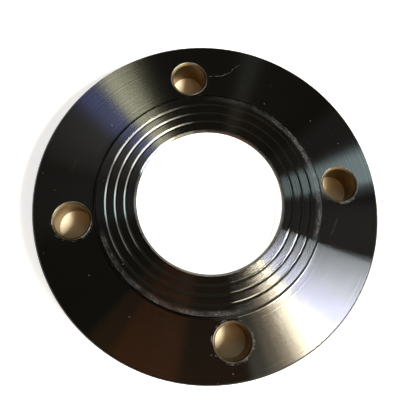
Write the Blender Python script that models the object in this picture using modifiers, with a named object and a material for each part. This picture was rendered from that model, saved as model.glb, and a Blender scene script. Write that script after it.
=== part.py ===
"""Steel plate flange, slip-on type, with a raised gasket face and waterline grooves.

One turned and drilled ring. It lies on its back face, its axis is +Z, and the origin is
the centre of the back face. Units are metres.
"""

import math

import bpy

# Driving sizes, worked outwards from the bore. Together they give a 122 mm raised face,
# a 145 mm bolt circle and a 185 mm rim.
BORE_DIAMETER = 0.077
GASKET_LAND_WIDTH = 0.0225
BOLT_CIRCLE_GAP = 0.0115
RIM_MARGIN = 0.020

THICKNESS = 0.020
RAISED_FACE_HEIGHT = 0.003

BOLT_COUNT = 4
BOLT_HOLE_DIAMETER = 0.018

GROOVE_COUNT = 3
GROOVE_INNER_FLANK = 0.0007
GROOVE_OUTER_FLANK = 0.0010
GROOVE_DEPTH = 0.0005
GROOVE_SET_OFFSET = -0.0004

# Edge breaks left by the turning tool and the countersink.
BORE_CHAMFER = 0.0014
BORE_BACK_CHAMFER = 0.0008
RAISED_FACE_CHAMFER = 0.0013
RAISED_FACE_FOOT_FILLET = 0.0006
RIM_CHAMFER = 0.0010
RIM_BACK_CHAMFER = 0.0008
BOLT_HOLE_CHAMFER = 0.0011
BOLT_HOLE_BACK_CHAMFER = 0.0005

# Fineness of the facets.
BODY_SEGMENTS = 120
HOLE_SEGMENTS = 32
FILLET_SEGMENTS = 2

# How far a drill runs past each face, so that no two faces coincide.
DRILL_OVERRUN = 0.002
SHARP_EDGE_ANGLE = math.radians(20)
WELD_DISTANCE = 0.00001

OBJECT_NAME = "plate_flange"
BODY_NAME = "flange_plate"

bore_radius = BORE_DIAMETER / 2
raised_face_radius = bore_radius + GASKET_LAND_WIDTH
bolt_circle_radius = raised_face_radius + BOLT_CIRCLE_GAP
rim_radius = bolt_circle_radius + RIM_MARGIN
plate_face_height = THICKNESS - RAISED_FACE_HEIGHT

# A fillet or chamfer can't be larger than the wall that it sits on.
raised_face_chamfer = min(RAISED_FACE_CHAMFER, 0.6 * RAISED_FACE_HEIGHT)
foot_fillet = min(RAISED_FACE_FOOT_FILLET, 0.3 * RAISED_FACE_HEIGHT)


def clear_scene():
    for obj in list(bpy.data.objects):
        bpy.data.objects.remove(obj, do_unlink=True)


def new_collection(name):
    collection = bpy.data.collections.new(name)
    bpy.context.scene.collection.children.link(collection)
    return collection


def steel_material():
    """Dark, bright-turned carbon steel."""
    material = bpy.data.materials.new("turned carbon steel")
    material.use_nodes = True
    shader = material.node_tree.nodes["Principled BSDF"]
    shader.inputs["Base Color"].default_value = (0.19, 0.18, 0.165, 1.0)
    shader.inputs["Metallic"].default_value = 1.0
    shader.inputs["Roughness"].default_value = 0.32
    material.diffuse_color = (0.19, 0.18, 0.165, 1.0)
    return material


def groove_points():
    """The waterline grooves, inner one first, spread over the flat part of the gasket face.

    Each has a short flank towards the bore and a longer one towards the rim.
    """
    land_start = bore_radius + BORE_CHAMFER
    land_end = raised_face_radius - raised_face_chamfer
    pitch = (land_end - land_start) / (GROOVE_COUNT + 1)
    width = min(GROOVE_INNER_FLANK + GROOVE_OUTER_FLANK, 0.8 * pitch)
    inner_flank = width * GROOVE_INNER_FLANK / (GROOVE_INNER_FLANK + GROOVE_OUTER_FLANK)
    points = []
    for number in range(1, GROOVE_COUNT + 1):
        start = land_start + number * pitch + GROOVE_SET_OFFSET - width / 2
        points.append((start, THICKNESS))
        points.append((start + inner_flank, THICKNESS - GROOVE_DEPTH))
        points.append((start + width, THICKNESS))
    return points


def foot_points():
    """The tool's nose radius between the raised face's wall and the plate's face."""
    centre_r = raised_face_radius + foot_fillet
    centre_z = plate_face_height + foot_fillet
    points = []
    for step in range(FILLET_SEGMENTS + 1):
        angle = math.pi + step / FILLET_SEGMENTS * math.pi / 2
        r = centre_r + foot_fillet * math.cos(angle)
        z = centre_z + foot_fillet * math.sin(angle)
        points.append((r, z))
    return points


def body_profile():
    """The ring's section as (radius, height), from the rim's top edge down and round."""
    rim = [
        (rim_radius - RIM_CHAMFER, plate_face_height),
        (rim_radius, plate_face_height - RIM_CHAMFER),
        (rim_radius, RIM_BACK_CHAMFER),
        (rim_radius - RIM_BACK_CHAMFER, 0.0),
    ]
    bore = [
        (bore_radius + BORE_BACK_CHAMFER, 0.0),
        (bore_radius, BORE_BACK_CHAMFER),
        (bore_radius, THICKNESS - BORE_CHAMFER),
        (bore_radius + BORE_CHAMFER, THICKNESS),
    ]
    raised_edge = [
        (raised_face_radius - raised_face_chamfer, THICKNESS),
        (raised_face_radius, THICKNESS - raised_face_chamfer),
    ]
    return rim + bore + groove_points() + raised_edge + foot_points()


def drill_profile():
    """The drill and its countersinks: the hole's wall, with both mouths opened at 45 degrees."""
    hole_radius = BOLT_HOLE_DIAMETER / 2
    top_mouth = hole_radius + BOLT_HOLE_CHAMFER + DRILL_OVERRUN
    back_mouth = hole_radius + BOLT_HOLE_BACK_CHAMFER + DRILL_OVERRUN
    return [
        (0.0, plate_face_height + DRILL_OVERRUN),
        (top_mouth, plate_face_height + DRILL_OVERRUN),
        (hole_radius, plate_face_height - BOLT_HOLE_CHAMFER),
        (hole_radius, BOLT_HOLE_BACK_CHAMFER),
        (back_mouth, -DRILL_OVERRUN),
        (0.0, -DRILL_OVERRUN),
    ]


def turned(name, profile, steps, collection, closed):
    """An object whose (radius, height) profile a Screw modifier turns about Z."""
    count = len(profile)
    edges = [(i, i + 1) for i in range(count - 1)]
    if closed:
        edges.append((count - 1, 0))
    mesh = bpy.data.meshes.new(name)
    mesh.from_pydata([(r, 0.0, z) for r, z in profile], edges, [])
    obj = bpy.data.objects.new(name, mesh)
    collection.objects.link(obj)
    screw = obj.modifiers.new("turn about Z", "SCREW")
    screw.axis = "Z"
    screw.angle = math.tau
    screw.steps = steps
    screw.render_steps = steps
    screw.use_merge_vertices = True
    screw.merge_threshold = WELD_DISTANCE
    screw.use_smooth_shade = True
    return obj


def drills(collection):
    """One drill for each bolt hole, the first on +X."""
    made = []
    for number in range(BOLT_COUNT):
        angle = number * math.tau / BOLT_COUNT
        drill = turned(f"drill_{number + 1}", drill_profile(), HOLE_SEGMENTS, collection, False)
        drill.location.x = bolt_circle_radius * math.cos(angle)
        drill.location.y = bolt_circle_radius * math.sin(angle)
        drill.rotation_euler.z = angle
        drill.hide_render = True
        drill.display_type = "WIRE"
        made.append(drill)
    return made


def keep_as_mesh(obj):
    """Applies the modifiers and shades the round faces smooth between the sharp edges."""
    bpy.context.view_layer.update()
    evaluated = obj.evaluated_get(bpy.context.evaluated_depsgraph_get())
    mesh = bpy.data.meshes.new_from_object(evaluated)
    obj.modifiers.clear()
    obj.data = mesh
    mesh.name = obj.name
    mesh.shade_smooth()
    mesh.set_sharp_from_angle(angle=SHARP_EDGE_ANGLE)


def build():
    clear_scene()
    parts = new_collection(OBJECT_NAME)
    cutters = new_collection("cutters")
    body = turned(BODY_NAME, body_profile(), BODY_SEGMENTS, parts, True)
    for drill in drills(cutters):
        cut = body.modifiers.new(f"hole by {drill.name}", "BOOLEAN")
        cut.operation = "DIFFERENCE"
        cut.solver = "EXACT"
        cut.object = drill
    keep_as_mesh(body)
    body.data.materials.clear()
    body.data.materials.append(steel_material())


build()
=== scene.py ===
"""Looks of the plate flange: a turned, bored and drilled ring of carbon steel on a pale floor.

Run as a script in Blender 4.5. Units are metres. +X points to the right bolt hole of the
photograph and +Y to the upper one, and the flange lies on its back face at height zero.
"""

import math

import bmesh
import bpy
from bpy.props import FloatProperty, FloatVectorProperty, IntProperty, PointerProperty
from mathutils import Matrix, Vector


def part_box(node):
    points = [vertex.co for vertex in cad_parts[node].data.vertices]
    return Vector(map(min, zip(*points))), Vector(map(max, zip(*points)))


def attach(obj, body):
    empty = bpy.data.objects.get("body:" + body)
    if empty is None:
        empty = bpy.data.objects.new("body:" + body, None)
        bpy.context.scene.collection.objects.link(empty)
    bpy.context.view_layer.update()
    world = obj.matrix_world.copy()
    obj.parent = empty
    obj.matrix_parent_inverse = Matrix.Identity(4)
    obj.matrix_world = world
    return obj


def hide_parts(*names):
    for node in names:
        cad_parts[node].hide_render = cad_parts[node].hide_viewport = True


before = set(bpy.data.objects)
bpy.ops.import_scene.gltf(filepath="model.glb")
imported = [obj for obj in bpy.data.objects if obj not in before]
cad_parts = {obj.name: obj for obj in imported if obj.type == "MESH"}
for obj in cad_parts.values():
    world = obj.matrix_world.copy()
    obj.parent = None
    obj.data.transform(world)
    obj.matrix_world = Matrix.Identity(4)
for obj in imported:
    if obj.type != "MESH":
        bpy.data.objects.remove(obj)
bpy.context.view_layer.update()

bl_info = {
    "name": "Plate Flange",
    "version": (1, 0, 0),
    "blender": (4, 5, 0),
    "location": "View3D > Sidebar > Flange",
    "description": "Turns and drills a slip-on plate flange and sets it on a studio floor",
    "category": "Add Mesh",
}

PLATE_NODE = "flange_plate"
PIECE_NAME = "machined_flange"

plate_low, plate_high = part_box(PLATE_NODE)
RIM_DIAMETER = plate_high.x - plate_low.x
OVERALL_HEIGHT = plate_high.z - plate_low.z

MM = 0.001
TINY = 1e-6

# Edge breaks that the turning tool and the countersink leave.
BORE_CHAMFER = 1.4 * MM
RAISED_CHAMFER = 1.3 * MM
RIM_CHAMFER = 1.0 * MM
BACK_CHAMFER = 0.8 * MM
HOLE_CHAMFER = 1.1 * MM
HOLE_BACK_CHAMFER = 0.5 * MM
# Nose radii that the tool leaves at the foot of the raised face's step and in the grooves.
FOOT_FILLET = 0.6 * MM
GROOVE_ROUND = 0.25 * MM
# The raised face's chamfer and the worn round on it end this far inside the face's edge.
STEP_MARGIN = 1.5 * MM

# A face lies flat where its normal's height is above the first, and stands where it is below
# the second.
FLAT = 0.9999
UPRIGHT = 0.1


def srgb(code):
    """A hex colour as the linear value that the shaders take."""
    channels = [int(code[i:i + 2], 16) / 255 for i in (0, 2, 4)]
    linear = [c / 12.92 if c <= 0.04045 else ((c + 0.055) / 1.055) ** 2.4 for c in channels]
    return (*linear, 1.0)


class FlangeSizes(bpy.types.PropertyGroup):
    """Sizes of the turned and drilled ring."""

    rim_diameter: FloatProperty(
        name="Rim", description="Outside diameter", default=RIM_DIAMETER, unit="LENGTH")
    overall_height: FloatProperty(
        name="Height", description="From the back face to the gasket face",
        default=OVERALL_HEIGHT, unit="LENGTH")
    raised_height: FloatProperty(
        name="Raised face height", description="How far the gasket face stands proud",
        default=3.0 * MM, unit="LENGTH")
    bore_diameter: FloatProperty(
        name="Bore", description="Diameter of the hole for the pipe",
        default=77.0 * MM, unit="LENGTH")
    raised_diameter: FloatProperty(
        name="Raised face", description="Diameter of the gasket face",
        default=122.0 * MM, unit="LENGTH")
    bolt_circle: FloatProperty(
        name="Bolt circle", description="Diameter through the bolt holes' centres",
        default=145.0 * MM, unit="LENGTH")
    bolt_hole: FloatProperty(
        name="Bolt hole", description="Diameter of each bolt hole",
        default=18.0 * MM, unit="LENGTH")
    bolt_count: IntProperty(
        name="Bolt holes", description="Number of bolt holes", default=4, min=1)
    groove_count: IntProperty(
        name="Grooves", description="Ring grooves in the gasket face", default=3, min=1)
    groove_start: FloatProperty(
        name="First groove", description="Radius of the innermost groove's inner lip",
        default=43.6 * MM, unit="LENGTH")
    groove_pitch: FloatProperty(
        name="Groove pitch", description="Radial distance from groove to groove",
        default=4.95 * MM, unit="LENGTH")
    inner_flank: FloatProperty(
        name="Inner flank", description="Radial width of a groove's flank towards the bore",
        default=0.7 * MM, unit="LENGTH")
    outer_flank: FloatProperty(
        name="Outer flank", description="Radial width of a groove's flank towards the rim",
        default=1.0 * MM, unit="LENGTH")
    groove_depth: FloatProperty(
        name="Groove depth", description="Depth of a groove",
        default=0.5 * MM, unit="LENGTH")
    burnish: FloatProperty(
        name="Edge wear", description="Size of the worn round on each turned edge",
        default=0.14 * MM, unit="LENGTH")
    burr: FloatProperty(
        name="Burr", description="Height of the lip that the countersink raised at each hole",
        default=0.05 * MM, unit="LENGTH")
    turn_steps: IntProperty(
        name="Turning steps", description="Faces round the ring", default=480, min=48)
    hole_steps: IntProperty(
        name="Drill steps", description="Faces round a bolt hole", default=96, min=24)


class FlangeFinish(bpy.types.PropertyGroup):
    """Colours of the flange's surfaces."""

    faced: FloatVectorProperty(
        name="Faced steel", description="Oiled steel as the facing tool leaves it",
        subtype="COLOR", size=4, min=0, max=1, default=srgb("7C7A76"))
    faced_light: FloatVectorProperty(
        name="Faced steel, light rings", description="The brighter of its tool marks",
        subtype="COLOR", size=4, min=0, max=1, default=srgb("918E89"))
    burnished: FloatVectorProperty(
        name="Burnished steel", description="Groove flanks that the tool rubbed bright",
        subtype="COLOR", size=4, min=0, max=1, default=srgb("C8C4BC"))
    countersunk: FloatVectorProperty(
        name="Countersunk steel", description="Straw-coloured chamfers of the bolt holes",
        subtype="COLOR", size=4, min=0, max=1, default=srgb("786644"))
    scuffed: FloatVectorProperty(
        name="Scuffed steel", description="Scratches and rubbed patches, clean and rough",
        subtype="COLOR", size=4, min=0, max=1, default=srgb("C9C5BD"))
    bored: FloatVectorProperty(
        name="Bored steel", description="Clean steel of the bore's wall",
        subtype="COLOR", size=4, min=0, max=1, default=srgb("F0EEEA"))
    # The straw tint of both drilled colours is painted reflection of the warm floor under the
    # ring.
    drilled: FloatVectorProperty(
        name="Drilled steel", description="Wall of a bolt hole, with painted warm reflection",
        subtype="COLOR", size=4, min=0, max=1, default=srgb("94805C"))
    drilled_dark: FloatVectorProperty(
        name="Drilled steel, dark rings", description="The darker of the drill's marks",
        subtype="COLOR", size=4, min=0, max=1, default=srgb("7A6846"))
    rim_dark: FloatVectorProperty(
        name="Rim steel, dark rings", description="The darker of the rim's tool marks",
        subtype="COLOR", size=4, min=0, max=1, default=srgb("6C6A67"))
    # The edges' dark colour is painted shade, and their worn colour is a painted highlight on the
    # lit side mixed with rubbing.
    edge: FloatVectorProperty(
        name="Edge breaks", description="Outer edges, darkened with painted shade",
        subtype="COLOR", size=4, min=0, max=1, default=srgb("2E2D2B"))
    edge_lit_and_worn: FloatVectorProperty(
        name="Edge breaks, lit and worn", description="Where the raised face's edge is lit and rubbed: painted highlight",
        subtype="COLOR", size=4, min=0, max=1, default=srgb("8A8782"))
    rim: FloatVectorProperty(
        name="Rim steel", description="Turned rim of the ring",
        subtype="COLOR", size=4, min=0, max=1, default=srgb("8C8A86"))


class FlangeStudio(bpy.types.PropertyGroup):
    """The floor and the light round the flange."""

    floor: FloatVectorProperty(
        name="Floor", description="Colour of the floor",
        subtype="COLOR", size=4, min=0, max=1, default=srgb("F2F0EC"))
    under_ring: FloatVectorProperty(
        name="Under the ring", description="Colour of the floor that shows in the bolt holes",
        subtype="COLOR", size=4, min=0, max=1, default=srgb("FAEEDA"))
    floor_size: FloatProperty(
        name="Floor size", description="Width of the floor", default=12.0, unit="LENGTH")
    overhead: FloatVectorProperty(
        name="Overhead", description="Colour of the dark room over the flange",
        subtype="COLOR", size=4, min=0, max=1, default=srgb("292824"))
    walls: FloatVectorProperty(
        name="Walls", description="Colour of the room's walls low down",
        subtype="COLOR", size=4, min=0, max=1, default=srgb("FFFFFF"))
    side: FloatProperty(
        name="Side light", description="Strength of the lamp that shines into the bolt holes",
        default=2.8, min=0)
    window: FloatProperty(
        name="Window", description="Brightness of the window's panes", default=1.0, min=0)


def deselect_all():
    for obj in bpy.context.selected_objects:
        obj.select_set(False)


def make_active(obj):
    deselect_all()
    obj.select_set(True)
    bpy.context.view_layer.objects.active = obj


def pick(obj, kind, test):
    """In edit mode, selects the verts, edges or faces that pass the test, and only those."""
    bpy.ops.mesh.select_mode(type={"verts": "VERT", "edges": "EDGE", "faces": "FACE"}[kind])
    bpy.ops.mesh.select_all(action="DESELECT")
    mesh = bmesh.from_edit_mesh(obj.data)
    for item in getattr(mesh, kind):
        if test(item):
            item.select_set(True)
    mesh.select_flush_mode()
    bmesh.update_edit_mesh(obj.data)


def near(a, b):
    """True where two lengths are the same, but for rounding."""
    return abs(a - b) < TINY


def groove_bottom(sizes, number):
    """The radius of a groove's lowest line."""
    return sizes.groove_start + number * sizes.groove_pitch + sizes.inner_flank


def drawn_section(sizes):
    """The ring's section as a flat face in the XZ plane, with its step and its grooves."""
    bore = sizes.bore_diameter / 2
    rim = sizes.rim_diameter / 2
    raised = sizes.raised_diameter / 2
    plate_top = sizes.overall_height - sizes.raised_height
    middle = ((bore + rim) / 2, 0, plate_top / 2)
    bpy.ops.mesh.primitive_plane_add(size=1, location=middle, rotation=(math.pi / 2, 0, 0))
    obj = bpy.context.object
    obj.name = PIECE_NAME
    obj.data.name = PIECE_NAME
    bpy.ops.object.transform_apply(location=True, rotation=True, scale=True)
    bpy.ops.object.mode_set(mode="EDIT")
    bpy.ops.mesh.select_all(action="SELECT")
    bpy.ops.transform.resize(value=(rim - bore, 1, plate_top), center_override=middle)
    bpy.ops.mesh.bisect(plane_co=(raised, 0, 0), plane_no=(1, 0, 0))
    pick(obj, "edges", lambda e: all(
        near(v.co.z, plate_top) and v.co.x < raised + TINY for v in e.verts))
    bpy.ops.mesh.extrude_region_move(
        TRANSFORM_OT_translate={"value": (0, 0, sizes.raised_height)})
    for number in range(sizes.groove_count):
        bottom = groove_bottom(sizes, number)
        for r in (bottom - sizes.inner_flank, bottom, bottom + sizes.outer_flank):
            pick(obj, "faces", lambda f: f.calc_center_median().z > plate_top + TINY)
            bpy.ops.mesh.bisect(plane_co=(r, 0, 0), plane_no=(1, 0, 0))
        pick(obj, "verts", lambda v: near(v.co.x, bottom) and near(v.co.z, sizes.overall_height))
        bpy.ops.transform.translate(value=(0, 0, -sizes.groove_depth))
    bpy.ops.mesh.select_mode(type="FACE")
    bpy.ops.mesh.select_all(action="SELECT")
    bpy.ops.mesh.dissolve_faces()
    pick(obj, "verts", lambda v: near(v.co.x, raised) and near(v.co.z, 0))
    bpy.ops.mesh.dissolve_verts()
    pick(obj, "verts", lambda v: near(v.co.x, bore) and near(v.co.z, plate_top))
    bpy.ops.mesh.dissolve_verts()
    return obj


def break_corner(obj, r, z, size, segments=1):
    """Chamfers one corner of the section, or rounds it where it has more segments."""
    pick(obj, "verts", lambda v: near(v.co.x, r) and near(v.co.z, z))
    bpy.ops.mesh.bevel(offset=size, offset_type="OFFSET", segments=segments, affect="VERTICES")


def break_edges(obj, sizes):
    """The edge breaks of the turning tool, and the wear that softens each of them."""
    bore = sizes.bore_diameter / 2
    rim = sizes.rim_diameter / 2
    raised = sizes.raised_diameter / 2
    top = sizes.overall_height
    plate_top = top - sizes.raised_height
    break_corner(obj, bore, top, BORE_CHAMFER)
    break_corner(obj, raised, top, RAISED_CHAMFER)
    break_corner(obj, rim, plate_top, RIM_CHAMFER)
    break_corner(obj, rim, 0, BACK_CHAMFER)
    break_corner(obj, bore, 0, BACK_CHAMFER)
    for number in range(sizes.groove_count):
        bottom = groove_bottom(sizes, number)
        break_corner(obj, bottom, top - sizes.groove_depth, GROOVE_ROUND, segments=3)
    pick(obj, "verts", lambda v: is_open_corner(v, raised, plate_top))
    bpy.ops.mesh.bevel(offset=sizes.burnish, offset_type="OFFSET", segments=2, affect="VERTICES")
    break_corner(obj, raised, plate_top, FOOT_FILLET, segments=4)


def is_open_corner(vert, raised, plate_top):
    """True for a corner that a hand could touch, so not the foot of the step."""
    if near(vert.co.x, raised) and near(vert.co.z, plate_top):
        return False
    a, b = [edge.other_vert(vert).co - vert.co for edge in vert.link_edges]
    least_bend = math.radians(25)
    return abs(a.angle(b) - math.pi) > least_bend


def turn_section(obj, sizes):
    """Spins the section's outline round the axis into the closed ring."""
    bpy.ops.mesh.select_mode(type="FACE")
    bpy.ops.mesh.select_all(action="SELECT")
    bpy.ops.mesh.delete(type="ONLY_FACE")
    bpy.ops.mesh.select_mode(type="VERT")
    bpy.ops.mesh.select_all(action="SELECT")
    bpy.ops.mesh.spin(
        steps=sizes.turn_steps, angle=math.tau, use_auto_merge=True,
        center=(0, 0, 0), axis=(0, 0, 1))
    bpy.ops.mesh.select_all(action="SELECT")
    bpy.ops.mesh.remove_doubles(threshold=TINY)
    bpy.ops.mesh.normals_make_consistent(inside=False)
    bpy.ops.object.mode_set(mode="OBJECT")


def hole_centres(sizes):
    """The bolt holes' centres, the first on +X."""
    turn = math.tau / sizes.bolt_count
    reach = Vector((sizes.bolt_circle / 2, 0, 0))
    return [Matrix.Rotation(i * turn, 3, "Z") @ reach for i in range(sizes.bolt_count)]


def drill_bit(sizes):
    """The drill with the countersinks of both mouths, standing at the first hole."""
    plate_top = sizes.overall_height - sizes.raised_height
    radius = sizes.bolt_hole / 2
    overrun = 2.0 * MM
    low, high = HOLE_BACK_CHAMFER, plate_top - HOLE_CHAMFER
    centre = Vector((sizes.bolt_circle / 2, 0, (low + high) / 2))
    bpy.ops.mesh.primitive_cylinder_add(
        vertices=sizes.hole_steps, radius=radius, depth=high - low, location=centre)
    bit = bpy.context.object
    bpy.ops.object.transform_apply(location=True, rotation=True, scale=True)
    bpy.ops.object.mode_set(mode="EDIT")
    for z, way, chamfer in ((high, 1, HOLE_CHAMFER), (low, -1, HOLE_BACK_CHAMFER)):
        flare = chamfer + overrun
        pick(bit, "faces", lambda f: near(f.calc_center_median().z, z) and len(f.verts) > 4)
        bpy.ops.mesh.extrude_region_move(TRANSFORM_OT_translate={"value": (0, 0, way * flare)})
        grown = (radius + flare) / radius
        bpy.ops.transform.resize(
            value=(grown, grown, 1), center_override=(centre.x, 0, z + way * flare))
    bpy.ops.mesh.select_all(action="SELECT")
    bpy.ops.mesh.normals_make_consistent(inside=False)
    bpy.ops.object.mode_set(mode="OBJECT")
    return bit


def lip_blank(sizes):
    """A low cone at the first hole, which the drill leaves only the edge of, as a burr."""
    plate_top = sizes.overall_height - sizes.raised_height
    sunk = 0.1 * MM
    foot_width = 0.28 * MM
    mouth = sizes.bolt_hole / 2 + HOLE_CHAMFER
    height = sunk + sizes.burr
    place = (sizes.bolt_circle / 2, 0, plate_top - sunk + height / 2)
    bpy.ops.mesh.primitive_cone_add(
        vertices=sizes.hole_steps, radius1=mouth + foot_width, radius2=mouth + sizes.burr,
        depth=height, location=place)
    bpy.ops.object.transform_apply(location=True, rotation=True, scale=True)
    return bpy.context.object


def at_each_hole(obj, tool, operation, sizes):
    """Joins or cuts with a copy of the tool at every bolt hole."""
    for number in range(sizes.bolt_count):
        copy = tool.copy()
        copy.data = tool.data.copy()
        bpy.context.collection.objects.link(copy)
        copy.rotation_euler.z = number * math.tau / sizes.bolt_count
        make_active(obj)
        change = obj.modifiers.new("bolt hole", "BOOLEAN")
        change.operation = operation
        change.solver = "EXACT"
        change.object = copy
        bpy.context.view_layer.update()
        bpy.ops.object.modifier_apply(modifier=change.name)
        bpy.data.objects.remove(copy, do_unlink=True)
    bpy.data.objects.remove(tool, do_unlink=True)


def drill_holes(obj, sizes):
    """Raises the burrs, and cuts every bolt hole with its countersinks."""
    at_each_hole(obj, lip_blank(sizes), "UNION", sizes)
    at_each_hole(obj, drill_bit(sizes), "DIFFERENCE", sizes)


def on_groove_flank(face, sizes):
    """True for a face of a groove's straight flanks, to within a few degrees of their slope."""
    reach = face.calc_center_median().xy.length
    if not sizes.groove_start < reach < sizes.raised_diameter / 2 - STEP_MARGIN:
        return False
    lean = math.acos(min(1, face.normal.z))
    slopes = [math.atan2(sizes.groove_depth, w) for w in (sizes.inner_flank, sizes.outer_flank)]
    return any(abs(lean - slope) < math.radians(4) for slope in slopes)


def smooth_between_edges(obj, sizes):
    """Shades the round faces smooth, and keeps lands and groove flanks true up to their borders.

    A flank mirrors one part of the room along its whole width, so its normals must not turn
    towards the worn rounds beside it.
    """
    make_active(obj)
    bpy.ops.object.shade_smooth_by_angle(angle=math.radians(18), keep_sharp_edges=True)
    bpy.ops.object.mode_set(mode="EDIT")
    pick(obj, "faces", lambda f: abs(f.normal.z) > FLAT or on_groove_flank(f, sizes))
    bpy.ops.mesh.region_to_loop()
    bpy.ops.mesh.mark_sharp()
    bpy.ops.mesh.select_all(action="DESELECT")
    bpy.ops.object.mode_set(mode="OBJECT")


def add_node(tree, kind, settings=None, inputs=None):
    """Adds a node, sets its properties, and fills or links its inputs by name or number."""
    node = tree.nodes.new(kind)
    for name, value in (settings or {}).items():
        setattr(node, name, value)
    for name, value in (inputs or {}).items():
        if isinstance(value, bpy.types.NodeSocket):
            tree.links.new(value, node.inputs[name])
        else:
            node.inputs[name].default_value = value
    return node


def new_material(name):
    """A new material and its Principled shader."""
    material = bpy.data.materials.new(name)
    material.use_nodes = True
    return material, material.node_tree.nodes["Principled BSDF"]


def point_on_piece(tree):
    """A point's place in its object's own coordinates, which are the flange's."""
    return add_node(tree, "ShaderNodeTexCoord").outputs["Object"]


def distance_from_axis(tree, place):
    """How far a point is from the flange's axis."""
    parts = add_node(tree, "ShaderNodeSeparateXYZ", None, {0: place})
    flat = add_node(
        tree, "ShaderNodeCombineXYZ", None, {0: parts.outputs["X"], 1: parts.outputs["Y"]})
    radius = add_node(
        tree, "ShaderNodeVectorMath", {"operation": "LENGTH"}, {0: flat.outputs[0]})
    return radius.outputs["Value"]


def angle_round_axis(tree, place):
    """A point's angle round the flange's axis, from the right bolt hole to the upper one."""
    parts = add_node(tree, "ShaderNodeSeparateXYZ", None, {0: place})
    angle = add_node(
        tree, "ShaderNodeMath", {"operation": "ARCTAN2"},
        {0: parts.outputs["Y"], 1: parts.outputs["X"]})
    return angle.outputs[0]


def product(tree, first, *others):
    """Several masks at once: where all of them are one."""
    for other in others:
        both = add_node(tree, "ShaderNodeMath", {"operation": "MULTIPLY"}, {0: first, 1: other})
        first = both.outputs[0]
    return first


def faded(tree, value, start, end, low=0.0, high=1.0):
    """A smooth step from low to high as the value goes from start to end."""
    step = add_node(
        tree, "ShaderNodeMapRange", {"interpolation_type": "SMOOTHSTEP"},
        {"Value": value, "From Min": start, "From Max": end, "To Min": low, "To Max": high})
    return step.outputs[0]


def band(tree, value, low, high, soft):
    """One between low and high, and zero beyond them after a soft edge."""
    rise = faded(tree, value, low - soft, low)
    fall = faded(tree, value, high, high + soft, 1.0, 0.0)
    return product(tree, rise, fall)


def nearest_hole(tree, place, sizes):
    """A point's distance from the nearest bolt hole's centre, seen from above.

    The four holes lie on the axes, so one hole stands for all once the point is folded into
    the same eighth of the circle.
    """
    parts = add_node(tree, "ShaderNodeSeparateXYZ", None, {0: place})
    sides = [
        add_node(tree, "ShaderNodeMath", {"operation": "ABSOLUTE"}, {0: parts.outputs[axis]})
        for axis in ("X", "Y")]
    inputs = {0: sides[0].outputs[0], 1: sides[1].outputs[0]}
    longer = add_node(tree, "ShaderNodeMath", {"operation": "MAXIMUM"}, inputs)
    shorter = add_node(tree, "ShaderNodeMath", {"operation": "MINIMUM"}, inputs)
    folded = add_node(
        tree, "ShaderNodeCombineXYZ", None, {0: longer.outputs[0], 1: shorter.outputs[0]})
    away = add_node(
        tree, "ShaderNodeVectorMath", {"operation": "DISTANCE"},
        {0: folded.outputs[0], 1: (sizes.bolt_circle / 2, 0, 0)})
    return away.outputs["Value"]


def speckle(tree, place, size, low, high):
    """A ragged mask whose patches are about this size; low and high set how much it covers."""
    noise = add_node(
        tree, "ShaderNodeTexNoise", None,
        {"Vector": place, "Scale": 1 / size, "Detail": 4.0, "Roughness": 0.7})
    return faded(tree, noise.outputs[0], low, high)


def strongest(tree, first, *others):
    """Several masks laid over each other."""
    for other in others:
        both = add_node(tree, "ShaderNodeMath", {"operation": "MAXIMUM"}, {0: first, 1: other})
        first = both.outputs[0]
    return first


def along_a_line(tree, place, start, end, width):
    """A mask for a slightly wavy scratch between two points of the plate, in metres."""
    start, end = Vector((*start, 0)), Vector((*end, 0))
    run = (end - start).normalized()
    sway_width = 1.2 * MM
    wobble = add_node(
        tree, "ShaderNodeTexNoise", None,
        {"Vector": place, "Scale": 1 / (4 * MM), "Detail": 1.0})
    moved = add_node(
        tree, "ShaderNodeVectorMath", {"operation": "SUBTRACT"}, {0: place, 1: start})
    far = add_node(
        tree, "ShaderNodeVectorMath", {"operation": "DOT_PRODUCT"}, {0: moved.outputs[0], 1: run})
    off = add_node(
        tree, "ShaderNodeVectorMath", {"operation": "DOT_PRODUCT"},
        {0: moved.outputs[0], 1: (-run.y, run.x, 0)})
    sway = add_node(
        tree, "ShaderNodeMapRange", None,
        {"Value": wobble.outputs[0], "To Min": -sway_width, "To Max": sway_width})
    across = add_node(
        tree, "ShaderNodeMath", {"operation": "SUBTRACT"},
        {0: off.outputs["Value"], 1: sway.outputs[0]})
    length = (end - start).length
    return product(
        tree, band(tree, far.outputs["Value"], 0, length, 0.5 * MM),
        band(tree, across.outputs[0], -width / 2, width / 2, 0.15 * MM))


# Where the raised face's outer margin is scuffed: from and to which angle round the axis, in
# degrees from the right bolt hole towards the upper one, and how strongly.
SCUFFED_MARGIN = ((-22, 40, 0.3), (-165, -88, 0.24), (40, 75, 0.12))
# Scratches on the plate, from point to point in millimetres, and their strength.
SCRATCHES = (
    ((11.8, 72.2), (21.5, 72.6), 0.3),
    ((21.5, 72.8), (30.4, 77.7), 0.2),
    ((-71.0, 26.0), (-66.0, 33.0), 0.1),
    ((62.0, -27.0), (66.5, -19.0), 0.1),
)


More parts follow.
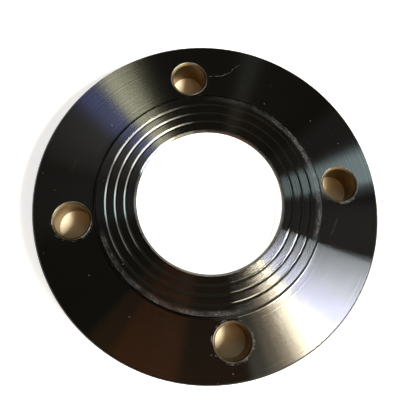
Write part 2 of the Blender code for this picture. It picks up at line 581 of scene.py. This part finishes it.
def scuffs(tree, place, radius, angle, sizes):
    """How much of the faced steel is rubbed or scratched at a point."""
    raised = sizes.raised_diameter / 2
    margin = band(tree, radius, raised - 3.2 * MM, raised - STEP_MARGIN, 1.3 * MM)
    # The margin unrolled to a strip in millimetres, pressed together lengthwise, so that the
    # spots on it come out drawn out round the axis.
    pressed = 0.4
    across = add_node(tree, "ShaderNodeMath", {"operation": "MULTIPLY"}, {0: radius, 1: 1 / MM})
    around = add_node(
        tree, "ShaderNodeMath", {"operation": "MULTIPLY"}, {0: angle, 1: pressed * raised / MM})
    unrolled = add_node(
        tree, "ShaderNodeCombineXYZ", None, {0: across.outputs[0], 1: around.outputs[0]})
    fine = speckle(tree, unrolled.outputs[0], 0.6, 0.38, 0.72)
    cloudy = speckle(tree, unrolled.outputs[0], 4.0, 0.3, 0.65)
    grazed = product(tree, margin, cloudy, faded(tree, fine, 0.0, 1.0, 0.35, 1.0))
    masks = []
    for low, high, strength in SCUFFED_MARGIN:
        stretch = band(
            tree, angle, math.radians(low), math.radians(high), math.radians(10))
        masks.append(product(tree, grazed, stretch, strength))
    scratch_width = 0.2 * MM
    for start, end, strength in SCRATCHES:
        start, end = Vector(start) * MM, Vector(end) * MM
        line = along_a_line(tree, place, start, end, scratch_width)
        masks.append(product(tree, line, speckle(tree, place, 1.5 * MM, 0.42, 0.55), strength))
    # Arcs that washers left on the plate beside the holes, on its lower half.
    washer_strength = 0.45
    away = nearest_hole(tree, place, sizes)
    mouth = sizes.bolt_hole / 2 + HOLE_CHAMFER
    washer_mark = band(tree, away, mouth + 0.8 * MM, mouth + 0.9 * MM, 0.15 * MM)
    lower = faded(tree, angle, math.radians(-8), math.radians(-2), 1.0, 0.0)
    outside_step = faded(tree, radius, raised + 0.2 * MM, raised + 0.8 * MM)
    ragged = speckle(tree, place, 3 * MM, 0.48, 0.6)
    masks.append(product(tree, washer_mark, lower, outside_step, ragged, washer_strength))
    # Small round dents, in some places only.
    dent_strength = 0.5
    dents = add_node(
        tree, "ShaderNodeTexVoronoi", None, {"Vector": place, "Scale": 1 / (5 * MM)})
    dot = faded(tree, dents.outputs["Distance"], 0.03, 0.06, 1.0, 0.0)
    here_and_there = speckle(tree, place, 9 * MM, 0.47, 0.6)
    masks.append(product(tree, dot, here_and_there, dent_strength))
    return strongest(tree, *masks)


# The facing tool's feed is about 0.2 mm, too fine to show, so its marks are drawn this coarse.
RING_PITCH = 0.9 * MM
# How far a turned face spreads the light, as slopes: the lathe's marks scatter it along each
# radius and hardly at all round the axis.
SPREAD_ALONG_RADIUS = 0.29
SPREAD_ROUND_AXIS = 0.012
# A burnished flank is nearly a mirror, in both directions.
BURNISHED_SPREAD = 0.018


def brushed_gloss(tree, colour, along_radius, round_axis):
    """Bare turned metal: the light spreads one amount along the radius, another round the axis.

    Blender squares the roughness, and its anisotropy then narrows that one way and widens it
    the other, so the two inputs are worked out backwards from the spreads.
    """
    around = add_node(tree, "ShaderNodeTangent", {"direction_type": "RADIAL", "axis": "Z"})
    gloss = add_node(
        tree, "ShaderNodeBsdfAnisotropic", {"distribution": "BECKMANN"},
        {"Color": colour, "Tangent": around.outputs[0],
         "Roughness": (along_radius * round_axis) ** 0.25,
         "Anisotropy": 1 - (round_axis / along_radius) ** 0.5})
    return gloss.outputs[0]


def faced_steel(finish, sizes):
    """Carbon steel faced on a lathe and oiled: near black, with light drawn out on each radius."""
    material, shader = new_material("faced carbon steel, oiled")
    tree = material.node_tree
    tree.nodes.remove(shader)
    place = point_on_piece(tree)
    radius = distance_from_axis(tree, place)
    angle = angle_round_axis(tree, place)
    rings = add_node(
        tree, "ShaderNodeTexNoise", {"noise_dimensions": "1D"},
        {"W": radius, "Scale": 1 / RING_PITCH, "Detail": 3.0, "Roughness": 0.75})
    colour = add_node(
        tree, "ShaderNodeMix", {"data_type": "RGBA"},
        {"Factor": faded(tree, rings.outputs[0], 0.25, 0.75),
         "A": finish.faced, "B": finish.faced_light})
    gloss = brushed_gloss(tree, colour.outputs["Result"], SPREAD_ALONG_RADIUS, SPREAD_ROUND_AXIS)
    rough = add_node(
        tree, "ShaderNodeBsdfAnisotropic", {"distribution": "GGX"},
        {"Color": finish.scuffed, "Roughness": 0.65})
    worn = add_node(
        tree, "ShaderNodeMixShader", None,
        {0: scuffs(tree, place, radius, angle, sizes), 1: gloss, 2: rough.outputs[0]})
    tree.links.new(worn.outputs[0], tree.nodes["Material Output"].inputs["Surface"])
    return material


def burnished_steel(finish):
    """Groove flanks, which the tool's side rubbed smooth and bright."""
    material, shader = new_material("carbon steel, burnished by the tool")
    tree = material.node_tree
    tree.nodes.remove(shader)
    gloss = brushed_gloss(tree, finish.burnished, BURNISHED_SPREAD, BURNISHED_SPREAD)
    tree.links.new(gloss, tree.nodes["Material Output"].inputs["Surface"])
    return material


def countersunk_steel(finish, sizes):
    """The bolt holes' chamfers and burrs: straw-coloured and dull from the countersink.

    Bolt heads and washers rubbed the outer lip bright in places.
    """
    material, shader = new_material("countersunk carbon steel")
    tree = material.node_tree
    place = point_on_piece(tree)
    away = nearest_hole(tree, place, sizes)
    mouth = sizes.bolt_hole / 2 + HOLE_CHAMFER
    lip = faded(tree, away, mouth - 0.35 * MM, mouth - 0.15 * MM)
    rubbed = product(tree, lip, speckle(tree, place, 6.0 * MM, 0.38, 0.6), 0.85)
    colour = add_node(
        tree, "ShaderNodeMix", {"data_type": "RGBA"},
        {"Factor": rubbed, "A": finish.countersunk, "B": finish.scuffed})
    tree.links.new(colour.outputs["Result"], shader.inputs["Base Color"])
    shader.inputs["Metallic"].default_value = 1.0
    shader.inputs["Roughness"].default_value = 0.6
    return material


def bored_steel(finish):
    """Clean steel, bored: bright, mirroring the floor."""
    material, shader = new_material("bored carbon steel, clean")
    shader.inputs["Base Color"].default_value = finish.bored
    shader.inputs["Metallic"].default_value = 1.0
    shader.inputs["Roughness"].default_value = 0.2
    return material


def turned_marks(tree, value, pitch):
    """Tool marks as light and dark lines, one after the other along the value."""
    noise = add_node(
        tree, "ShaderNodeTexNoise", {"noise_dimensions": "1D"},
        {"W": value, "Scale": 1 / pitch, "Detail": 2.0, "Roughness": 0.7})
    return faded(tree, noise.outputs[0], 0.3, 0.7)


def marked_steel(name, light, dark, pitch):
    """Steel with tool marks round its wall, each at one height, drawn at this pitch."""
    material, shader = new_material(name)
    tree = material.node_tree
    parts = add_node(tree, "ShaderNodeSeparateXYZ", None, {0: point_on_piece(tree)})
    height = parts.outputs["Z"]
    colour = add_node(
        tree, "ShaderNodeMix", {"data_type": "RGBA"},
        {"Factor": turned_marks(tree, height, pitch), "A": dark, "B": light})
    tree.links.new(colour.outputs["Result"], shader.inputs["Base Color"])
    shader.inputs["Metallic"].default_value = 1.0
    shader.inputs["Roughness"].default_value = 0.35
    return material


def drilled_steel(finish):
    """Steel drilled dry, with rings of drill marks; its straw tint is painted reflection of the
    warm floor under the ring.

    The drill's feed is about 0.25 mm, too fine to show, so its rings are drawn coarser.
    """
    return marked_steel(
        "drilled carbon steel, straw tint", finish.drilled, finish.drilled_dark, 0.6 * MM)


def rim_steel(finish):
    """The rim, turned at a coarse feed of about 0.4 mm and left duller than the faces.

    Its rings are drawn twice as coarse, so that they show.
    """
    return marked_steel("turned carbon steel rim", finish.rim, finish.rim_dark, 0.8 * MM)


def edge_steel(finish):
    """The raised face's step and the rim's edges: darkened with painted shade, and lighter on the
    right with a painted highlight mixed with rubbing.
    """
    material, shader = new_material("carbon steel edge, oily and scaled")
    tree = material.node_tree
    place = point_on_piece(tree)
    angle = angle_round_axis(tree, place)
    # Lighter on the right, where the light falls: a painted highlight, ragged like the real
    # rubbing there.
    lit_and_rubbed_side = band(tree, angle, math.radians(-12), math.radians(55), math.radians(12))
    worn = product(tree, lit_and_rubbed_side, speckle(tree, place, 1.5 * MM, 0.3, 0.6))
    colour = add_node(
        tree, "ShaderNodeMix", {"data_type": "RGBA"},
        {"Factor": worn, "A": finish.edge, "B": finish.edge_lit_and_worn})
    tree.links.new(colour.outputs["Result"], shader.inputs["Base Color"])
    shader.inputs["Metallic"].default_value = 1.0
    shader.inputs["Roughness"].default_value = 0.2
    return material


def assign(obj, material, test):
    """Gives a material to the faces that pass the test."""
    obj.data.materials.append(material)
    make_active(obj)
    bpy.ops.object.mode_set(mode="EDIT")
    pick(obj, "faces", test)
    obj.active_material_index = len(obj.data.materials) - 1
    bpy.ops.object.material_slot_assign()
    bpy.ops.mesh.select_all(action="DESELECT")
    bpy.ops.object.mode_set(mode="OBJECT")


def surface_tests(sizes):
    """For each kind of cut, a test that tells its faces from the flat ones."""
    bore = sizes.bore_diameter / 2
    rim = sizes.rim_diameter / 2
    raised = sizes.raised_diameter / 2
    past_burr = 0.6 * MM
    hole_reach = sizes.bolt_hole / 2 + HOLE_CHAMFER + past_burr
    centres = hole_centres(sizes)

    def in_hole(face):
        middle = face.calc_center_median()
        middle.z = 0
        return any((middle - centre).length < hole_reach for centre in centres)

    def reach(face):
        return face.calc_center_median().xy.length

    def is_upright(face):
        return abs(face.normal.z) < UPRIGHT

    def is_sloping(face):
        return UPRIGHT < abs(face.normal.z) < FLAT

    def is_countersunk(face):
        return is_sloping(face) and in_hole(face)

    def is_burnished(face):
        return on_groove_flank(face, sizes)

    def is_drilled(face):
        return is_upright(face) and in_hole(face)

    def is_bored(face):
        return is_upright(face) and reach(face) < bore + 0.1 * MM

    def is_rim(face):
        return is_upright(face) and reach(face) > rim - 0.1 * MM

    def is_outer_edge(face):
        if raised - STEP_MARGIN < reach(face) < raised + 0.15 * MM:
            return abs(face.normal.z) < FLAT
        return is_sloping(face) and reach(face) > rim - RIM_CHAMFER - 0.2 * MM

    return is_countersunk, is_burnished, is_drilled, is_bored, is_rim, is_outer_edge


class FLANGE_OT_turn_plate(bpy.types.Operator):
    """Turns, bores and drills the flange plate and gives it its steels"""

    bl_idname = "flange.turn_plate"
    bl_label = "Turn the flange plate"

    def execute(self, context):
        sizes = context.scene.flange_sizes
        finish = context.scene.flange_finish
        deselect_all()
        plate = drawn_section(sizes)
        break_edges(plate, sizes)
        turn_section(plate, sizes)
        drill_holes(plate, sizes)
        smooth_between_edges(plate, sizes)
        steels = (
            countersunk_steel(finish, sizes), burnished_steel(finish), drilled_steel(finish),
            bored_steel(finish), rim_steel(finish), edge_steel(finish))
        plate.data.materials.append(faced_steel(finish, sizes))
        for steel, test in zip(steels, surface_tests(sizes)):
            assign(plate, steel, test)
        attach(plate, "root")
        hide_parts(PLATE_NODE)
        return {"FINISHED"}


# The camera, solved from the flange's outlines in the photograph.
CAMERA_PLACE = Vector((-33.63, -57.11, 265.73)) * MM
CAMERA_AIM = Vector((-4.99, 1.67, 17.0)) * MM
CAMERA_UP = Vector((0.1333, 0.9610, 0.2425))
CAMERA_LENS = 43.516

PLATE_CENTRE = Vector((0, 0, OVERALL_HEIGHT))

# The window's panes and the lit walls, each with the two angles on the plate that its
# reflection runs between, in degrees from the right bolt hole and on towards the lower one, how
# far off the mirrored camera it starts and ends, its distance in metres, its brightness and its
# colour. The window is cut in narrow slices because its brightness changes across it. The
# groove lamps show in the grooves' outer flanks and the low windows in their inner ones.
PANES = (
    ("near_card", -5.0, 9.6, 0.40, 0.80, 0.22, 1.3, "D8F4FF"),
    ("near_card_edge", -26.0, -8.5, 0.40, 0.70, 0.3, 0.03, "FFFFFF"),
    ("cool_pane_1", 31.0, 34.0, 0.73, 0.88, 3.0, 21.0, "DEEAF8"),
    ("cool_pane_2", 34.0, 37.0, 0.73, 0.88, 3.0, 25.0, "DEEAF8"),
    ("cool_pane_3", 37.0, 40.0, 0.73, 0.88, 3.0, 31.0, "E0E9FA"),
    ("cool_pane_4", 40.0, 43.0, 0.73, 0.88, 3.0, 35.0, "E2EAFC"),
    ("cool_pane_5", 43.0, 46.0, 0.73, 0.88, 3.0, 42.0, "E2E9FC"),
    ("cool_pane_6", 46.0, 49.0, 0.73, 0.88, 3.0, 50.0, "E0E6FF"),
    ("cool_pane_7", 49.0, 52.0, 0.73, 0.88, 3.0, 56.0, "DEE4FF"),
    ("violet_pane_1", 52.0, 55.0, 0.73, 0.88, 3.0, 59.0, "DAE1FF"),
    ("violet_pane_2", 55.0, 58.5, 0.73, 0.88, 3.0, 64.0, "E4E8FF"),
    ("sun_pane_1", 58.5, 61.0, 0.74, 0.88, 3.0, 85.0, "FFF9EC"),
    ("sun_pane_2", 61.0, 63.5, 0.74, 0.88, 3.0, 100.0, "FFF9E6"),
    ("sun_pane_3", 63.5, 66.0, 0.74, 0.88, 3.0, 80.0, "FFF8E0"),
    ("sun_edge_1", 66.0, 68.5, 0.73, 0.88, 3.0, 50.0, "FFF9E4"),
    ("sun_edge_2", 68.5, 71.0, 0.73, 0.88, 3.0, 29.0, "FFF4DA"),
    ("low_edge_1", 71.0, 73.5, 0.73, 0.88, 3.0, 14.0, "FFEED2"),
    ("low_edge_2", 73.5, 76.0, 0.73, 0.88, 3.0, 8.5, "FFEED2"),
    ("low_edge_3", 76.0, 80.0, 0.73, 0.88, 3.0, 3.8, "FFF2DC"),
    ("low_edge_4", 80.0, 86.0, 0.73, 0.88, 3.0, 1.6, "F6F4E0"),
    ("low_window_1", 36.0, 58.0, 0.94, 1.03, 3.0, 0.2, "FFF6E0"),
    ("low_window_2", 58.0, 72.0, 1.02, 1.11, 3.0, 1.5, "FFF6E0"),
    ("low_window_3", 72.0, 86.0, 1.06, 1.15, 3.0, 3.2, "FFF6E0"),
    ("groove_lamp_1", -26.0, -7.0, 0.56, 0.63, 3.0, 0.15, "FFFFFF"),
    ("groove_lamp_2", 10.0, 31.0, 0.60, 0.67, 3.0, 0.7, "FFFFFF"),
    ("groove_lamp_3", 31.0, 50.0, 0.62, 0.70, 3.0, 1.7, "FFFFFF"),
    ("groove_lamp_4", 50.0, 72.0, 0.66, 0.73, 3.0, 3.0, "FFFFFF"),
    ("groove_lamp_5", 72.0, 80.0, 0.68, 0.74, 3.0, 0.6, "FFFFFF"),
    ("brown_wall", 86.0, 109.0, 0.80, 0.92, 3.0, 0.55, "FFB878"),
    ("warm_wall", 109.0, 132.0, 0.80, 0.92, 3.0, 1.6, "FF9A4C"),
    ("warm_edge", 132.0, 140.0, 0.80, 0.92, 3.0, 0.65, "FFB060"),
    ("left_wall_1", 174.0, 198.0, 0.30, 0.50, 3.0, 0.07, "FFFFFF"),
    ("left_wall_2", 198.0, 222.0, 0.25, 0.45, 0.3, 0.24, "FFFFFF"),
    ("far_blue", 222.0, 232.5, 0.26, 0.46, 3.0, 1.9, "98A8FF"),
    ("far_gold_1", 232.5, 241.0, 0.26, 0.46, 3.0, 5.0, "FBFFDE"),
    ("far_gold_2", 241.0, 246.0, 0.26, 0.46, 3.0, 2.6, "FBFFDE"),
    ("far_gold_3", 246.0, 252.0, 0.26, 0.46, 3.0, 0.25, "FBFFDE"),
    ("far_lamp", 291.0, 299.0, 0.25, 0.50, 3.0, 0.14, "F0FFF6"),
    ("far_wall", 255.0, 330.0, 0.20, 0.40, 3.0, 0.02, "F4FFF0"),
)


def dome_point(angle, off):
    """A point of the unit dome over the plate, off the mirrored camera at an angle."""
    to_camera = (CAMERA_PLACE - PLATE_CENTRE).normalized()
    turn = -math.radians(angle)
    x = -to_camera.x + off * math.cos(turn)
    y = -to_camera.y + off * math.sin(turn)
    return Vector((x, y, math.sqrt(1 - x * x - y * y)))


def window_pane(name, start, end, near_end, far_end, distance, brightness, colour):
    """A pane that shows in the plate as a streak between two angles.

    The plate mirrors the camera towards one point overhead. A lamp off that point, in some
    direction, shows as a streak in the same direction from the plate's centre. Its energy
    follows its area, so that a brightness looks the same on a pane of any size.
    """
    middle = (start + end) / 2
    first, last = dome_point(middle, near_end), dome_point(middle, far_end)
    along = (last - first).normalized()
    across = Vector((0, 0, 1)).cross(along).normalized()
    back = along.cross(across)
    place = PLATE_CENTRE + (first + last) / 2 * distance
    bpy.ops.object.light_add(type="AREA", location=place)
    lamp = bpy.context.object
    lamp.name = name
    lamp.rotation_euler = Matrix((along, across, back)).transposed().to_euler()
    lamp.data.shape = "RECTANGLE"
    lamp.data.size = (last - first).length * distance
    lamp.data.size_y = math.radians(end - start) * (near_end + far_end) / 2 * distance
    lamp.data.energy = brightness * math.pi * lamp.data.size * lamp.data.size_y
    lamp.data.color = srgb(colour)[:3]
    return lamp


def pale_floor(sizes, studio):
    """Matt white board, which shows white in the open and keeps the flange's shadow."""
    material, shader = new_material("matt white board")
    tree = material.node_tree
    bore, rim = sizes.bore_diameter / 2, sizes.rim_diameter / 2
    radius = distance_from_axis(tree, point_on_piece(tree))
    outside = faded(tree, radius, rim - MM, rim)
    inside = faded(tree, radius, bore, bore + MM, 1.0, 0.0)
    in_the_open = strongest(tree, outside, inside)
    colour = add_node(
        tree, "ShaderNodeMix", {"data_type": "RGBA"},
        {"Factor": in_the_open, "A": studio.under_ring, "B": studio.floor})
    rays = add_node(tree, "ShaderNodeLightPath").outputs
    seen = strongest(
        tree, rays["Is Camera Ray"], rays["Is Glossy Ray"], rays["Is Transmission Ray"])
    # The lamps light the floor too, so it glows fully inside the bore, which paints out the
    # flange's shadow there, less outside the rim, where its shadow has to show, and less again far
    # away, where only low views and reflections see it.
    open_glow = faded(tree, radius, bore, rim, 1.0, 0.72)
    far_glow = faded(tree, radius, 0.3, 3.0, 1.0, 0.6)
    tree.links.new(colour.outputs["Result"], shader.inputs["Base Color"])
    shader.inputs["Roughness"].default_value = 0.9
    shader.inputs["Specular IOR Level"].default_value = 0.1
    shader.inputs["Emission Color"].default_value = (1, 1, 1, 1)
    glow = product(tree, seen, in_the_open, open_glow, far_glow)
    tree.links.new(glow, shader.inputs["Emission Strength"])
    return material


def side_light(studio):
    """A sun lamp from the right, for the floor and the walls that show in the bolt holes."""
    bpy.ops.object.light_add(type="SUN", location=(0.6, -0.3, 0.8))
    lamp = bpy.context.object
    lamp.name = "side_light"
    from_front, from_right = math.radians(17), math.radians(36)
    softness = math.radians(9)
    lamp.rotation_euler = (from_front, from_right, 0)
    lamp.data.energy = studio.side
    lamp.data.angle = softness
    lamp.data.color = srgb("FFF2DC")[:3]
    lamp.visible_glossy = False


def room(studio):
    """The world: white walls low down, and a dark ceiling over the flange."""
    world = bpy.data.worlds.new("white walls, dark ceiling")
    world.use_nodes = True
    tree = world.node_tree
    way = add_node(tree, "ShaderNodeTexCoord").outputs["Generated"]
    parts = add_node(tree, "ShaderNodeSeparateXYZ", None, {0: way})
    wall_top, ceiling_start = math.sin(math.radians(10)), math.sin(math.radians(18))
    colour = add_node(
        tree, "ShaderNodeMix", {"data_type": "RGBA"},
        {"Factor": faded(tree, parts.outputs["Z"], wall_top, ceiling_start),
         "A": studio.walls, "B": studio.overhead})
    tree.links.new(colour.outputs["Result"], tree.nodes["Background"].inputs["Color"])
    return world


def black_card():
    """A black card round the flange, open towards the window, which keeps the edges dark.

    Only the metal's reflections see it, as if it stood out of the frame from every side.
    """
    radius, height, lift = 0.5, 0.24, 1 * MM
    window_way, half_gap = math.radians(-57), math.radians(32)
    bpy.ops.mesh.primitive_cylinder_add(
        vertices=96, radius=radius, depth=height, end_fill_type="NOTHING",
        location=(0, 0, lift + height / 2))
    card = bpy.context.object
    card.name = "black_card"
    bpy.ops.object.transform_apply(location=True, rotation=True, scale=True)
    bpy.ops.object.mode_set(mode="EDIT")
    to_window = Vector((math.cos(window_way), math.sin(window_way), 0))
    gap_start = radius * math.cos(half_gap)
    pick(card, "faces", lambda f: f.calc_center_median().dot(to_window) > gap_start)
    bpy.ops.mesh.delete(type="FACE")
    bpy.ops.object.mode_set(mode="OBJECT")
    material, shader = new_material("black paper card")
    shader.inputs["Base Color"].default_value = srgb("0C0C0B")
    shader.inputs["Roughness"].default_value = 1.0
    shader.inputs["Specular IOR Level"].default_value = 0.0
    card.data.materials.append(material)
    card.visible_camera = False
    card.visible_diffuse = False
    card.visible_shadow = False
    return card


class FLANGE_OT_set_stage(bpy.types.Operator):
    """Lays the floor, hangs the lights and sets the camera"""

    bl_idname = "flange.set_stage"
    bl_label = "Set the stage"

    def execute(self, context):
        scene = context.scene
        sizes = scene.flange_sizes
        studio = scene.flange_studio
        deselect_all()
        bpy.ops.mesh.primitive_plane_add(size=studio.floor_size)
        floor = bpy.context.object
        floor.name = "studio_floor"
        floor.data.materials.append(pale_floor(sizes, studio))
        black_card()
        for pane in PANES:
            lamp = window_pane(*pane)
            lamp.data.energy *= studio.window
        side_light(studio)
        scene.world = room(studio)
        set_camera(scene)
        scene.view_settings.view_transform = "Standard"
        return {"FINISHED"}


def set_camera(scene):
    """Looks down on the flange, a little from the front left, with the camera rolled."""
    bpy.ops.object.camera_add(location=CAMERA_PLACE)
    camera = bpy.context.object
    camera.name = "photo_camera"
    back = (CAMERA_PLACE - CAMERA_AIM).normalized()
    right = CAMERA_UP.cross(back).normalized()
    axes = Matrix((right, back.cross(right), back)).transposed()
    camera.rotation_euler = axes.to_euler()
    camera.data.lens = CAMERA_LENS
    camera.data.clip_start = 0.01
    scene.camera = camera


class FLANGE_PT_panel(bpy.types.Panel):
    """Lists the flange's sizes, finishes and steps"""

    bl_label = "Plate Flange"
    bl_idname = "FLANGE_PT_panel"
    bl_space_type = "VIEW_3D"
    bl_region_type = "UI"
    bl_category = "Flange"

    def draw(self, context):
        scene = context.scene
        for group in (scene.flange_sizes, scene.flange_finish, scene.flange_studio):
            box = self.layout.box()
            for name in group.bl_rna.properties.keys():
                if name not in ("rna_type", "name"):
                    box.prop(group, name)
        for operator in STEPS:
            self.layout.operator(operator.bl_idname)


GROUPS = {
    "flange_sizes": FlangeSizes,
    "flange_finish": FlangeFinish,
    "flange_studio": FlangeStudio,
}
STEPS = (FLANGE_OT_turn_plate, FLANGE_OT_set_stage)


def register():
    for name, group in GROUPS.items():
        bpy.utils.register_class(group)
        setattr(bpy.types.Scene, name, PointerProperty(type=group))
    for step in STEPS:
        bpy.utils.register_class(step)
    bpy.utils.register_class(FLANGE_PT_panel)


def unregister():
    bpy.utils.unregister_class(FLANGE_PT_panel)
    for step in reversed(STEPS):
        bpy.utils.unregister_class(step)
    for name, group in reversed(GROUPS.items()):
        delattr(bpy.types.Scene, name)
        bpy.utils.unregister_class(group)


def main():
    register()
    bpy.ops.flange.turn_plate()
    bpy.ops.flange.set_stage()


if __name__ == "__main__":
    main()
